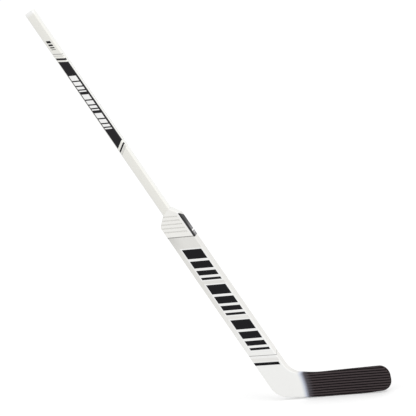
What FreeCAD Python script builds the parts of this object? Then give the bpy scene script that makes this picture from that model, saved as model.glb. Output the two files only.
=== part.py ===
import FreeCAD, Part
import math
import os

# Goaltender's ice hockey stick, in millimetres, standing on the sole of its blade in playing position.
# +X runs along the sole from heel to toe, +Z is up, and the shooter's side of the stick faces -Y.
# The origin is the middle of the flat stretch of the sole. The model is laid out from the heel corner,
# where the paddle's heel-side edge line meets the ice, and moved to the origin when it is written.
# Sizes marked "along" are measured up the shaft from the heel corner, and "across" from the paddle's
# heel-side edge towards the toe.

# Whole stick
STICK_LENGTH = 1388.0  # along, heel corner to butt end
LIE_ANGLE = 116.0  # degrees between the sole and the shaft
OVERRUN = 6.0  # how far every cutting block runs past what it cuts

# Shaft
SHAFT_WIDTH = 30.0
SHAFT_THICKNESS = 20.0
SHAFT_CORNER_RADIUS = 2.5
WRAP_WALL = 0.9  # glass-fibre sleeve round the wooden core
CENTRE_PLY_THICKNESS = 10.0

# Butt plug
PLUG_FLANGE_THICKNESS = 4.0
PLUG_EDGE_RADIUS = 1.6
PLUG_STEM_WIDTH = 15.0
PLUG_STEM_THICKNESS = 6.0
PLUG_STEM_LENGTH = 32.0

# Paddle
HEEL_SHOULDER = 630.0  # along, heel corner to the outer shoulder corner on the heel side
TOE_SHOULDER_STEP = 6.0  # how much higher the corner on the toe side stands
HEEL_SIDE_OVERHANG = 31.3  # paddle beyond the shaft on the heel side
TOE_SIDE_OVERHANG = 22.2
HEEL_SHOULDER_RISE = 25.0  # along, from the outer shoulder corner up to the shaft
TOE_SHOULDER_RISE = 30.0
SHOULDER_CORNER_RADIUS = 12.0
SHOULDER_TOP_RADIUS = 8.0
PADDLE_SKIN = 2.0  # face sheets and grip plates, laid on the shaft's faces
RAIL_WIDTH = 12.0
EDGE_RADIUS = 4.0  # rounding all round the edge of paddle and blade
EDGE_ROUND_SHARE = 0.45  # most of the toe's thickness that one rounding may take
CORNER_FILL_SHARE = 0.6  # part of the shaft's rounded corner that the foam and rails fill

# Ribbed grip plates at the top of the paddle
GRIP_DROP = 71.0  # height of the grip plates below the heel-side shoulder's top
GRIP_GROOVE_WIDTH = 5.0
GRIP_GROOVE_FLOOR_WIDTH = 2.6
GRIP_GROOVE_DEPTH = 1.2
GRIP_GROOVE_FIRST = 18.5  # height of the first groove above the plate's lower edge
GRIP_GROOVE_PITCH = 12.0
GRIP_SMOOTH_MARGIN = 12.0  # smooth strip beside the toe-side edge

# Finger grip let into the toe-side edge
FINGER_GRIP_RISE = 1.0  # along, how far its front edge reaches above the outer shoulder corner
FINGER_GRIP_DROP = 1.0  # height that its front edge reaches below the grip plates
FINGER_GRIP_TOP_SLANT = 13.0  # how much lower its upper end stands at the back
FINGER_GRIP_BOTTOM_SLANT = 5.0  # how much higher its lower end stands at the back
FINGER_GRIP_DEPTH = 3.5

# Blade outline
BLADE_LENGTH = 380.0  # heel corner to toe
BLADE_TOE_HEIGHT = 82.5
BLADE_TOP_HEIGHT = 76.0  # top edge at its dip, before that is rounded
BLADE_NECK_HEIGHT = 84.0  # where the top edge's line meets the line of the paddle's toe-side edge
TOP_DIP = 135.0  # heel corner to the dip in the top edge
TOP_DIP_RADIUS = 400.0
HEEL_RADIUS = 60.0
HEEL_LIFT = 5.8  # degrees that the sole rises towards the heel
HEEL_ROCKER = 110.0  # heel corner to the middle of the sole's bend towards the heel
HEEL_ROCKER_RADIUS = 1300.0
TOE_LIFT = 4.0  # degrees that the sole rises towards the toe
TOE_ROCKER = 287.0  # heel corner to the middle of the sole's bend towards the toe
TOE_ROCKER_RADIUS = 1500.0
TOE_BOTTOM_RADIUS = 35.0
TOE_TOP_RADIUS = 32.0
NECK_RADIUS = 58.0

# Blade in plan
BLADE_THICKNESS = 14.0
TOE_THICKNESS = 12.0
CURVE_DEPTH = 6.0  # how far the toe curves towards the shooter's side
TAPER_SETBACK = 10.0  # from the paddle's lower toe-side corner to the start of the taper
TAPER_LENGTH = 82.0

# Blade layers
BLADE_SKIN = 1.5
EDGE_BAND_WIDTH = 3.0
RIB_THICKNESS = 4.0
RIB_HEIGHT_SHARES = (0.36, 0.66)  # of the height of the blade's top edge at its dip
RIB_TAIL = 25.0  # length of each rib let into the heel core
FACE_GROOVE_WIDTH = 3.2
FACE_GROOVE_DEPTH = 0.7
FACE_GROOVE_FIRST = 5.2  # height of the lowest groove above the sole
FACE_GROOVE_PITCH = 7.95
FACE_GROOVE_MARGIN = 3.5  # plain border round the grooves

# Heel joint
JOINT_HEIGHT = 119.0  # level cut where paddle and shaft stand on the heel
HEEL_JOIN = 92.0  # heel corner to the butt joint between heel and blade layers, at the sole
HEEL_JOIN_LEAN = 5.0  # degrees that this joint leans towards the heel
SPLINE_WIDTH = 18.0
SPLINE_THICKNESS = 6.0
SPLINE_UP = 80.0  # along, from the level cut up into the shaft
SPLINE_DOWN = 62.0  # along, from the level cut down into the heel

# Sizes that follow from the ones above
TOE_SHOULDER = HEEL_SHOULDER + TOE_SHOULDER_STEP
PADDLE_WIDTH = HEEL_SIDE_OVERHANG + SHAFT_WIDTH + TOE_SIDE_OVERHANG
PADDLE_THICKNESS = SHAFT_THICKNESS + 2 * PADDLE_SKIN
SHAFT_CENTRE = HEEL_SIDE_OVERHANG + SHAFT_WIDTH / 2
LIE_COS = math.cos(math.radians(LIE_ANGLE))
LIE_SIN = math.sin(math.radians(LIE_ANGLE))
REACH = STICK_LENGTH + OVERRUN

ORIGIN = FreeCAD.Vector(0, 0, 0)
Y_AXIS = FreeCAD.Vector(0, 1, 0)
UP_SHAFT = FreeCAD.Vector(LIE_COS, 0, LIE_SIN)


def on_shaft(across, along):
    """Point in the plane of the outline, given across the paddle and along the shaft."""
    return FreeCAD.Vector(across * LIE_SIN + along * LIE_COS, 0, along * LIE_SIN - across * LIE_COS)


def along_at(across, height):
    """Distance along the shaft at which a line up the paddle reaches a height above the ice."""
    return (height + across * LIE_COS) / LIE_SIN


def lean(shape):
    """Turn a shape made upright, with across on X and along on Z, to the lie of the shaft."""
    return shape.rotated(ORIGIN, Y_AXIS, 90 - LIE_ANGLE)


def block(low, high):
    """Box between two opposite corners."""
    size = [top - bottom for bottom, top in zip(low, high)]
    return Part.makeBox(size[0], size[1], size[2], FreeCAD.Vector(*low))


def above(height):
    return block((-REACH, -REACH, height), (REACH, REACH, REACH))


def below(height):
    return block((-REACH, -REACH, -REACH), (REACH, REACH, height))


def in_front(depth):
    return block((-REACH, -REACH, -REACH), (REACH, depth, REACH))


def behind(depth):
    return block((-REACH, depth, -REACH), (REACH, REACH, REACH))


def one_solid(shape):
    """The single solid of a boolean result, with its split faces joined."""
    solids = shape.removeSplitter().Solids
    if len(solids) != 1:
        raise ValueError("expected one solid, found %d" % len(solids))
    return solids[0]


def prism(edges, push):
    """Solid made by pushing a closed outline along a vector."""
    wire = Part.Wire(Part.__sortEdges__(edges))
    return Part.Face(wire).extrude(push)


def meet(point_a, way_a, point_b, way_b):
    """Where two lines in the plane of the outline cross."""
    gap = point_b - point_a
    turn = way_a.x * way_b.z - way_a.z * way_b.x
    return point_a + way_a * ((gap.x * way_b.z - gap.z * way_b.x) / turn)


def outline_corners():
    """Sharp corners of paddle and blade, anticlockwise from the heel, and the radius of each."""
    lift = math.radians(HEEL_LIFT)
    heel_rocker = FreeCAD.Vector(HEEL_ROCKER, 0, 0)
    lifted_sole = FreeCAD.Vector(-math.cos(lift), 0, math.sin(lift))
    heel = meet(ORIGIN, UP_SHAFT, heel_rocker, lifted_sole)
    toe_bottom = (BLADE_LENGTH - TOE_ROCKER) * math.tan(math.radians(TOE_LIFT))
    neck = on_shaft(PADDLE_WIDTH, along_at(PADDLE_WIDTH, BLADE_NECK_HEIGHT))
    toe_side_top = TOE_SHOULDER + TOE_SHOULDER_RISE
    heel_side_top = HEEL_SHOULDER + HEEL_SHOULDER_RISE
    return [
        (heel, HEEL_RADIUS),
        (heel_rocker, HEEL_ROCKER_RADIUS),
        (FreeCAD.Vector(TOE_ROCKER, 0, 0), TOE_ROCKER_RADIUS),
        (FreeCAD.Vector(BLADE_LENGTH, 0, toe_bottom), TOE_BOTTOM_RADIUS),
        (FreeCAD.Vector(BLADE_LENGTH, 0, BLADE_TOE_HEIGHT), TOE_TOP_RADIUS),
        (FreeCAD.Vector(TOP_DIP, 0, BLADE_TOP_HEIGHT), TOP_DIP_RADIUS),
        (neck, NECK_RADIUS),
        (on_shaft(PADDLE_WIDTH, TOE_SHOULDER), SHOULDER_CORNER_RADIUS),
        (on_shaft(HEEL_SIDE_OVERHANG + SHAFT_WIDTH, toe_side_top), SHOULDER_TOP_RADIUS),
        (on_shaft(HEEL_SIDE_OVERHANG, heel_side_top), SHOULDER_TOP_RADIUS),
        (on_shaft(0, HEEL_SHOULDER), SHOULDER_CORNER_RADIUS),
    ]


def outline_sides():
    """Corner points, the direction of the side after each, the turn at each and the radius that fits."""
    corners = outline_corners()
    count = len(corners)
    points = [point for point, radius in corners]
    runs = [points[(i + 1) % count] - points[i] for i in range(count)]
    lengths = [run.Length for run in runs]
    ways = [FreeCAD.Vector(run).normalize() for run in runs]
    turns = []
    for i in range(count):
        before = ways[i - 1]
        after = ways[i]
        turns.append(math.atan2(before.x * after.z - before.z * after.x, before.dot(after)))
    reaches = [radius * math.tan(abs(turn) / 2) for (point, radius), turn in zip(corners, turns)]
    radii = []
    for i in range(count):
        room_before = lengths[i - 1] / (reaches[i - 1] + reaches[i])
        room_after = lengths[i] / (reaches[i] + reaches[(i + 1) % count])
        radii.append(corners[i][1] * min(1, room_before, room_after))
    return points, ways, turns, radii


def outline_edges(inset):
    """Lines and tangent arcs of the outline, brought in by a distance on every side."""
    points, ways, turns, radii = outline_sides()
    count = len(points)
    moved = [point + FreeCAD.Vector(-way.z, 0, way.x) * inset for point, way in zip(points, ways)]
    bends = []
    for i in range(count):
        corner = meet(moved[i - 1], ways[i - 1], moved[i], ways[i])
        radius = max(0, radii[i] - math.copysign(inset, turns[i]))
        reach = radius * math.tan(abs(turns[i]) / 2)
        inward = (ways[i] - ways[i - 1]).normalize()
        middle = corner + inward * (radius / math.cos(turns[i] / 2) - radius)
        bends.append((corner - ways[i - 1] * reach, middle, corner + ways[i] * reach, radius))
    edges = []
    for i in range(count):
        start, middle, end, radius = bends[i]
        if radius > 0:
            edges.append(Part.Arc(start, middle, end).toShape())
        following = bends[(i + 1) % count][0]
        if not end.isEqual(following, Part.Vertex(end).Tolerance):
            edges.append(Part.LineSegment(end, following).toShape())
    return edges


def outline_block(inset):
    """Block with the outline of paddle and blade, deeper than the stick is thick."""
    block_outline = prism(outline_edges(inset), FreeCAD.Vector(0, 2 * REACH, 0))
    return block_outline.translated(FreeCAD.Vector(0, -REACH, 0))


def sole_middle():
    """Distance from the heel corner to the middle of the flat stretch of the sole."""
    points, ways, turns, radii = outline_sides()
    flat_start = HEEL_ROCKER + radii[1] * math.tan(turns[1] / 2)
    flat_end = TOE_ROCKER - radii[2] * math.tan(turns[2] / 2)
    return (flat_start + flat_end) / 2


def bow(tangent, radius, x):
    """Point at x on a circle that runs along X at its tangent point."""
    rise = radius - math.copysign(math.sqrt(radius ** 2 - (x - tangent.x) ** 2), radius)
    return FreeCAD.Vector(x, tangent.y + rise, 0)


def bow_edge(tangent, radius, x_from, x_to):
    """Arc of such a circle between two places along X."""
    ends = [bow(tangent, radius, x) for x in (x_from, (x_from + x_to) / 2, x_to)]
    return Part.Arc(*ends).toShape()


def plan_side(side, inset):
    """One face of the stick in plan, from the paddle along the taper to past the toe."""
    paddle_face = side * (PADDLE_THICKNESS / 2 - inset)
    blade_face = side * (BLADE_THICKNESS / 2 - inset)
    toe_face = side * (TOE_THICKNESS / 2 - inset) - CURVE_DEPTH
    taper_start = on_shaft(PADDLE_WIDTH, along_at(PADDLE_WIDTH, JOINT_HEIGHT)).x + TAPER_SETBACK
    start = FreeCAD.Vector(taper_start, paddle_face, 0)
    end = FreeCAD.Vector(taper_start + TAPER_LENGTH, blade_face, 0)
    drop = end.y - start.y
    middle = (start.x + end.x) / 2
    taper_radius = (TAPER_LENGTH ** 2 + drop ** 2) / (4 * drop)
    curve = toe_face - blade_face
    curve_run = BLADE_LENGTH - end.x
    curve_radius = (curve_run ** 2 + curve ** 2) / (2 * curve)
    past_toe = BLADE_LENGTH + OVERRUN
    return [
        Part.LineSegment(FreeCAD.Vector(-REACH, paddle_face, 0), start).toShape(),
        bow_edge(start, taper_radius, start.x, middle),
        bow_edge(end, -taper_radius, middle, end.x),
        bow_edge(end, curve_radius, end.x, past_toe),
    ]


def plan_block(inset):
    """Block with the plan of paddle and blade, its faces brought in by an inset."""
    front = plan_side(-1, inset)
    back = plan_side(1, inset)
    heel_end = Part.LineSegment(front[0].Vertexes[0].Point, back[0].Vertexes[0].Point).toShape()
    toe_end = Part.LineSegment(front[-1].Vertexes[-1].Point, back[-1].Vertexes[-1].Point).toShape()
    block_plan = prism(front + back + [heel_end, toe_end], FreeCAD.Vector(0, 0, 2 * REACH))
    return block_plan.translated(FreeCAD.Vector(0, 0, -REACH))


def faces_sideways(face):
    """True for the front and back faces of the envelope, false for its narrow edge faces."""
    low_u, high_u, low_v, high_v = face.ParameterRange
    return abs(face.normalAt((low_u + high_u) / 2, (low_v + high_v) / 2).y) > abs(LIE_COS)


def paddle_and_blade():
    """Outer form of paddle, heel and blade in one piece, rounded all round its edge."""
    envelope = outline_block(0).common(plan_block(0)).Solids[0]
    rim = []
    for edge in envelope.Edges:
        faces = envelope.ancestorsOfType(edge, Part.Face)
        if len({faces_sideways(face) for face in faces}) > 1:
            rim.append(edge)
    return envelope.makeFillet(min(EDGE_RADIUS, EDGE_ROUND_SHARE * TOE_THICKNESS), rim)


def shaft_block(inset, low, high):
    """Rounded bar of the shaft's section between two distances along it."""
    half_width = SHAFT_WIDTH / 2 - inset
    half_thickness = SHAFT_THICKNESS / 2 - inset
    bar = block(
        (SHAFT_CENTRE - half_width, -half_thickness, low),
        (SHAFT_CENTRE + half_width, half_thickness, high),
    )
    long_edges = [edge for edge in bar.Edges if edge.Vertexes[0].Z != edge.Vertexes[1].Z]
    return lean(bar.makeFillet(SHAFT_CORNER_RADIUS - inset, long_edges))


def shaft_end():
    """Distance along the shaft at which the wrapped shaft stops under the butt plug's flange."""
    return STICK_LENGTH - PLUG_FLANGE_THICKNESS


def wrapped_shaft():
    """The whole shaft, from its level cut on the heel to the butt plug's flange."""
    return shaft_block(0, 0, shaft_end()).common(above(JOINT_HEIGHT))


def butt_plug():
    """Moulded end cap: a flange of the shaft's section on a stem that is let into the core."""
    flange = block(
        (SHAFT_CENTRE - SHAFT_WIDTH / 2, -SHAFT_THICKNESS / 2, shaft_end()),
        (SHAFT_CENTRE + SHAFT_WIDTH / 2, SHAFT_THICKNESS / 2, STICK_LENGTH),
    )
    long_edges = [edge for edge in flange.Edges if edge.Vertexes[0].Z != edge.Vertexes[1].Z]
    flange = flange.makeFillet(SHAFT_CORNER_RADIUS, long_edges)
    top_edges = [edge for edge in flange.Edges if edge.BoundBox.ZMin > shaft_end()]
    flange = flange.makeFillet(PLUG_EDGE_RADIUS, top_edges)
    return one_solid(lean(flange).fuse(plug_stem()))


def plug_stem():
    return lean(block(
        (SHAFT_CENTRE - PLUG_STEM_WIDTH / 2, -PLUG_STEM_THICKNESS / 2, shaft_end() - PLUG_STEM_LENGTH),
        (SHAFT_CENTRE + PLUG_STEM_WIDTH / 2, PLUG_STEM_THICKNESS / 2, shaft_end()),
    ))


def heel_spline():
    """Loose tongue, half in the shaft's mortise and half in the heel core."""
    level = along_at(SHAFT_CENTRE, JOINT_HEIGHT)
    return lean(block(
        (SHAFT_CENTRE - SPLINE_WIDTH / 2, -SPLINE_THICKNESS / 2, level - SPLINE_DOWN),
        (SHAFT_CENTRE + SPLINE_WIDTH / 2, SPLINE_THICKNESS / 2, level + SPLINE_UP),
    ))


def shaft_nodes():
    """Glass-fibre sleeve, three core plies, butt plug and the tongue that joins shaft and heel."""
    core = shaft_block(WRAP_WALL, 0, shaft_end()).common(above(JOINT_HEIGHT))
    wrap = wrapped_shaft().cut(core)
    core = core.cut(plug_stem()).cut(heel_spline())
    ply_face = CENTRE_PLY_THICKNESS / 2
    return {
        "shaft_wrap": one_solid(wrap),
        "shaft_core_front_ply": one_solid(core.common(in_front(-ply_face))),
        "shaft_core_centre_ply": one_solid(core.cut(in_front(-ply_face)).cut(behind(ply_face))),
        "shaft_core_back_ply": one_solid(core.common(behind(ply_face))),
        "butt_plug": butt_plug(),
        "heel_spline": heel_spline(),
    }


def grip_base():
    """Height of the grip plates' lower edge, which is level like the sole."""
    shoulder_top = on_shaft(HEEL_SIDE_OVERHANG, HEEL_SHOULDER + HEEL_SHOULDER_RISE)
    return shoulder_top.z - GRIP_DROP


def grip_groove(height, side):
    """Level groove with sloping walls across one grip plate, up to its smooth margin."""
    face = side * PADDLE_THICKNESS / 2
    floor = face - side * GRIP_GROOVE_DEPTH
    outside = face + side * GRIP_GROOVE_DEPTH
    spread = GRIP_GROOVE_WIDTH - GRIP_GROOVE_FLOOR_WIDTH
    section = [
        FreeCAD.Vector(-REACH, floor, height - GRIP_GROOVE_FLOOR_WIDTH / 2),
        FreeCAD.Vector(-REACH, floor, height + GRIP_GROOVE_FLOOR_WIDTH / 2),
        FreeCAD.Vector(-REACH, outside, height + GRIP_GROOVE_WIDTH / 2 + spread / 2),
        FreeCAD.Vector(-REACH, outside, height - GRIP_GROOVE_WIDTH / 2 - spread / 2),
    ]
    groove = Part.Face(Part.makePolygon(section + section[:1])).extrude(FreeCAD.Vector(2 * REACH, 0, 0))
    ribbed_width = PADDLE_WIDTH - GRIP_SMOOTH_MARGIN
    return groove.common(lean(block((-REACH, -REACH, -REACH), (ribbed_width, REACH, REACH))))


def grip_groove_heights():
    """The groove along the lower edge, then evenly spaced ones up to the heel-side shoulder."""
    count = 1 + int((GRIP_DROP - GRIP_GROOVE_FIRST) / GRIP_GROOVE_PITCH)
    first = grip_base() + GRIP_GROOVE_FIRST
    return [grip_base()] + [first + GRIP_GROOVE_PITCH * i for i in range(count)]


def finger_grip_block():
    """Pocket for the finger grip: a strip of the toe-side edge with slanted ends, level across."""
    front = -PADDLE_THICKNESS / 2
    back = PADDLE_THICKNESS / 2
    floor = PADDLE_WIDTH - FINGER_GRIP_DEPTH
    front_top = TOE_SHOULDER + FINGER_GRIP_RISE
    front_bottom = along_at(floor, grip_base() - FINGER_GRIP_DROP)
    strip = [
        FreeCAD.Vector(floor, front, front_bottom),
        FreeCAD.Vector(floor, front, front_top),
        FreeCAD.Vector(floor, back, front_top - FINGER_GRIP_TOP_SLANT),
        FreeCAD.Vector(floor, back, front_bottom + FINGER_GRIP_BOTTOM_SLANT),
    ]
    strip_face = Part.Face(Part.makePolygon(strip + strip[:1]))
    level = FreeCAD.Vector(1, 0, LIE_COS / LIE_SIN)
    return lean(strip_face.extrude(level * (FINGER_GRIP_DEPTH + OVERRUN)))


def grip_plate(paddle, side):
    """Ribbed plate on one face of the paddle's top, which covers rails, foam and shaft there."""
    face_depth = side * SHAFT_THICKNESS / 2
    face_zone = behind(face_depth) if side > 0 else in_front(face_depth)
    plate = paddle.common(face_zone).common(above(grip_base())).cut(finger_grip_block())
    for height in grip_groove_heights():
        plate = plate.cut(grip_groove(height, side))
    return one_solid(plate)


def paddle_nodes(envelope):
    """Rails, foam, face sheets, ribbed grip plates and finger grip above the level cut."""
    paddle = envelope.common(above(JOINT_HEIGHT))
    inside = outline_block(RAIL_WIDTH)
    shaft = wrapped_shaft()
    half = SHAFT_THICKNESS / 2
    fill = CORNER_FILL_SHARE * SHAFT_CORNER_RADIUS
    heel_limit = HEEL_SIDE_OVERHANG + fill
    toe_limit = HEEL_SIDE_OVERHANG + SHAFT_WIDTH - fill
    heel_side = lean(block((-REACH, -REACH, -REACH), (heel_limit, REACH, REACH)))
    toe_side = lean(block((toe_limit, -REACH, -REACH), (REACH, REACH, REACH)))
    face_layers = in_front(-half).fuse(behind(half))
    finger_pocket = finger_grip_block()
    rails = paddle.cut(inside).cut(face_layers.common(above(grip_base()))).cut(shaft)
    foam = paddle.common(inside).cut(face_layers).cut(shaft)
    sheets = paddle.common(inside).common(below(grip_base()))
    return {
        "heel_side_rail": one_solid(rails.common(heel_side)),
        "toe_side_rail": one_solid(rails.common(toe_side).cut(finger_pocket)),
        "heel_side_foam": one_solid(foam.common(heel_side)),
        "toe_side_foam": one_solid(foam.common(toe_side)),
        "paddle_front_sheet": one_solid(sheets.common(in_front(-half))),
        "paddle_back_sheet": one_solid(sheets.common(behind(half))),
        "front_rib_grip": grip_plate(paddle, -1),
        "back_rib_grip": grip_plate(paddle, 1),
        "finger_grip": one_solid(paddle.common(finger_pocket)),
    }


def heel_zone(shift):
    """Everything on the heel side of the leaning joint, moved along the sole by a shift."""
    zone = block((-REACH, -REACH, -REACH), (0, REACH, REACH))
    zone = zone.rotated(ORIGIN, Y_AXIS, -HEEL_JOIN_LEAN)
    return zone.translated(FreeCAD.Vector(HEEL_JOIN + shift, 0, 0))


def face_grooves():
    """Level grooves of both blade faces, inside a plain border."""
    border = outline_block(FACE_GROOVE_MARGIN).cut(heel_zone(FACE_GROOVE_MARGIN))
    border = border.cut(plan_block(FACE_GROOVE_DEPTH))
    top = BLADE_TOP_HEIGHT - FACE_GROOVE_MARGIN
    count = 1 + int((top - FACE_GROOVE_FIRST) / FACE_GROOVE_PITCH)
    grooves = []
    for i in range(count):
        height = FACE_GROOVE_FIRST + FACE_GROOVE_PITCH * i
        low = (-REACH, -REACH, height - FACE_GROOVE_WIDTH / 2)
        high = (REACH, REACH, height + FACE_GROOVE_WIDTH / 2)
        grooves.append(border.common(block(low, high)))
    return Part.makeCompound(grooves)


def blade_ribs(core):
    """Stiff ribs from face to face of the blade, with tails in the heel core."""
    ribbed = core.cut(heel_zone(-RIB_TAIL))
    ribs = []
    for share in RIB_HEIGHT_SHARES:
        bottom = share * BLADE_TOP_HEIGHT - RIB_THICKNESS / 2
        ribs.append(one_solid(ribbed.common(above(bottom)).common(below(bottom + RIB_THICKNESS))))
    return ribs


def blade_nodes(envelope):
    """Skins, edge bands, core and ribs of heel and blade below the level cut."""
    blade = envelope.common(below(JOINT_HEIGHT))
    heel = heel_zone(0)
    within_skins = plan_block(BLADE_SKIN)
    inside = outline_block(EDGE_BAND_WIDTH)
    skins = blade.cut(within_skins)
    filling = blade.common(within_skins)
    band = filling.cut(inside)
    core = filling.common(inside)
    front = skins.Solids[0]
    back = skins.Solids[1]
    if front.CenterOfMass.y > back.CenterOfMass.y:
        front, back = back, front
    grooves = face_grooves()
    lower_rib, upper_rib = blade_ribs(core)
    foam = core.cut(heel).cut(lower_rib).cut(upper_rib)
    lower_foam, middle_foam, upper_foam = sorted(foam.Solids, key=lambda strip: strip.CenterOfMass.z)
    heel_core = core.common(heel).cut(lower_rib).cut(upper_rib).cut(heel_spline())
    heel_bands = sorted(band.common(heel).Solids, key=lambda strip: strip.CenterOfMass.z)
    return {
        "heel_front_skin": one_solid(front.common(heel)),
        "heel_back_skin": one_solid(back.common(heel)),
        "blade_front_skin": one_solid(front.cut(heel).cut(grooves)),
        "blade_back_skin": one_solid(back.cut(heel).cut(grooves)),
        "heel_sole_band": one_solid(heel_bands[0]),
        "neck_band": one_solid(heel_bands[1]),
        "blade_edge_band": one_solid(band.cut(heel)),
        "heel_core": one_solid(heel_core),
        "blade_lower_foam": one_solid(lower_foam),
        "blade_middle_foam": one_solid(middle_foam),
        "blade_upper_foam": one_solid(upper_foam),
        "blade_lower_rib": lower_rib,
        "blade_upper_rib": upper_rib,
    }


def main():
    envelope = paddle_and_blade()
    nodes = shaft_nodes()
    nodes.update(paddle_nodes(envelope))
    nodes.update(blade_nodes(envelope))
    os.makedirs("parts", exist_ok=True)
    to_origin = FreeCAD.Vector(-sole_middle(), 0, 0)
    for name, shape in nodes.items():
        shape.translated(to_origin).exportStep("parts/%s.step" % name)


main()
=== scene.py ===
import math

import bmesh
import bpy
from bpy.props import FloatProperty, FloatVectorProperty, IntProperty, PointerProperty
from mathutils import Matrix, Vector


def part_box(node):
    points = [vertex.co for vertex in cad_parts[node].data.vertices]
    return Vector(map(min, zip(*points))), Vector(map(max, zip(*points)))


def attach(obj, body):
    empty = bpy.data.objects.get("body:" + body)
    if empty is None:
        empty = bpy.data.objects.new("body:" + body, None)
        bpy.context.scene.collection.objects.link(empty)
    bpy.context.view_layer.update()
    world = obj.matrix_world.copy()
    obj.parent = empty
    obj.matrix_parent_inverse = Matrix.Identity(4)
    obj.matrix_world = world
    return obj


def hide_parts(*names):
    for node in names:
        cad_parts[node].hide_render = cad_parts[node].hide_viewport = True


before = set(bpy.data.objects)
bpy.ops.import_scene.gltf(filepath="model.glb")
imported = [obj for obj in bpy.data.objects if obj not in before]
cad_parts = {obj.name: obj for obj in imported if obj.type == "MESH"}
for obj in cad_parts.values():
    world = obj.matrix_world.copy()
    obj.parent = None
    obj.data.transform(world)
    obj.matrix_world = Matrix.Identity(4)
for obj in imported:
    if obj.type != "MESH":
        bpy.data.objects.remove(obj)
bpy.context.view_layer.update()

bl_info = {
    "name": "Goal stick",
    "version": (1, 0, 0),
    "blender": (4, 5, 0),
    "location": "View3D > Sidebar > Goal Stick",
    "description": "Paints the pieces of a goaltender's hockey stick and lights it for its picture",
    "category": "Object",
}

# Places in the frame that the marks are measured from. Lengths are in metres here and below.
BLADE_LENGTH = 0.380
HEEL_CORNER_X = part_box("blade_edge_band")[1].x - BLADE_LENGTH
GRIP_BASE_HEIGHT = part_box("paddle_front_sheet")[1].z
JOINT_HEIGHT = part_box("paddle_front_sheet")[0].z

# Softness of a painted edge, and how far a mask's open side reaches past the surface
EDGE_BLUR = 0.0003
BEYOND = 0.01

# Sleeve: rings along it, steps round each corner, and the angle from which an edge stays sharp
SLEEVE_STATIONS = 24
CORNER_STEPS = 6
SHARP_ANGLE = math.radians(35)

# Floor: its grey, the glow that brings it up to white, its drop below the sole, and its sides
FLOOR_GREY = 0.86
FLOOR_GLOW = 0.22
FLOOR_DROP = 0.0003
FLOOR_SIDES = 96

# Soft sun: where it shines from, and how wide it stands in the sky
KEY_FROM = (0.75, -0.30, 0.59)
KEY_SPREAD = math.radians(50)

# Camera: sensor in millimetres, nearest and farthest sight
SENSOR_WIDTH = 36
NEAREST = 0.1
FARTHEST = 200


def srgb(red, green, blue):
    """Colour as a screen shows it, from 0 to 255, turned into the linear values that shaders use."""
    linear = []
    for level in (red / 255, green / 255, blue / 255):
        linear.append(level / 12.92 if level <= 0.04045 else ((level + 0.055) / 1.055) ** 2.4)
    return tuple(linear)


def length(name, default, description):
    return FloatProperty(name=name, description=description, default=default, unit="LENGTH", precision=4)


def share(name, default, description):
    return FloatProperty(name=name, description=description, default=default, subtype="FACTOR", min=0, max=1)


def angle(name, degrees, description):
    return FloatProperty(name=name, description=description, default=math.radians(degrees), subtype="ANGLE")


def strength(name, default, description):
    return FloatProperty(name=name, description=description, default=default, min=0)


def count(name, default, description):
    return IntProperty(name=name, description=description, default=default, min=1, max=9)


def colour(name, default, description):
    return FloatVectorProperty(
        name=name, description=description, default=srgb(*default), subtype="COLOR", size=3, min=0, max=1
    )


class StickSizes(bpy.types.PropertyGroup):
    """Sizes that the sleeve and the paints follow, in the frame of the solids."""

    lie: angle("Lie", 116, "Angle between sole and shaft")
    shaft_width: length("Shaft width", 0.030, "Wide side of the shaft's section")
    shaft_thickness: length("Shaft thickness", 0.020, "Narrow side of the shaft's section")
    shaft_corner: length("Shaft corner", 0.0025, "Radius of the shaft's long corners")
    sleeve_wall: length("Sleeve wall", 0.0009, "Thickness of the sleeve round the core")
    sleeve_top: length("Sleeve top", 1.384, "Along the shaft from the heel corner to the butt plug")
    shaft_edge: length("Shaft edge", 0.0313, "Across the paddle to the shaft's heel-side edge")
    paddle_width: length("Paddle width", 0.0835, "Across the paddle from edge to edge")
    paddle_thickness: length("Paddle thickness", 0.024, "From face to face of the paddle")
    shoulder: length("Shoulder", 0.636, "Along the shaft to the paddle's outer corner on the toe side")
    groove_pitch: length("Groove pitch", 0.00795, "Spacing of the blade's level grooves")
    groove_first: length("First groove", 0.0052, "Height of the lowest groove above the sole")
    groove_width: length("Groove width", 0.0032, "Width of each groove")
    rib_first: length("First rib groove", 0.0185, "From the grip plate's lower edge up to its first groove")
    rib_pitch: length("Rib pitch", 0.012, "Spacing of the grip plate's grooves")
    rib_width: length("Rib groove width", 0.005, "Width of each grip groove")
    rib_margin: length("Rib margin", 0.012, "Smooth strip of the grip plates beside the toe-side edge")
    fade_start: length("Fade start", 0.0805, "From the heel corner to where the white starts to darken")
    fade_black: length("Fade black", 0.0905, "From the heel corner to where the black sets in")
    fade_end: length("Fade end", 0.1055, "From the heel corner to where the black is dense")
    fade_tail: length("Fade tail", 0.020, "How far a faint haze runs on into the black")
    fade_foot: length("Fade foot", 0.020, "Height at which the bowed fade stands upright")
    fade_bow: length("Fade bow", 0.51, "Radius on which the fade bows over towards the heel, doubled")


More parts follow.
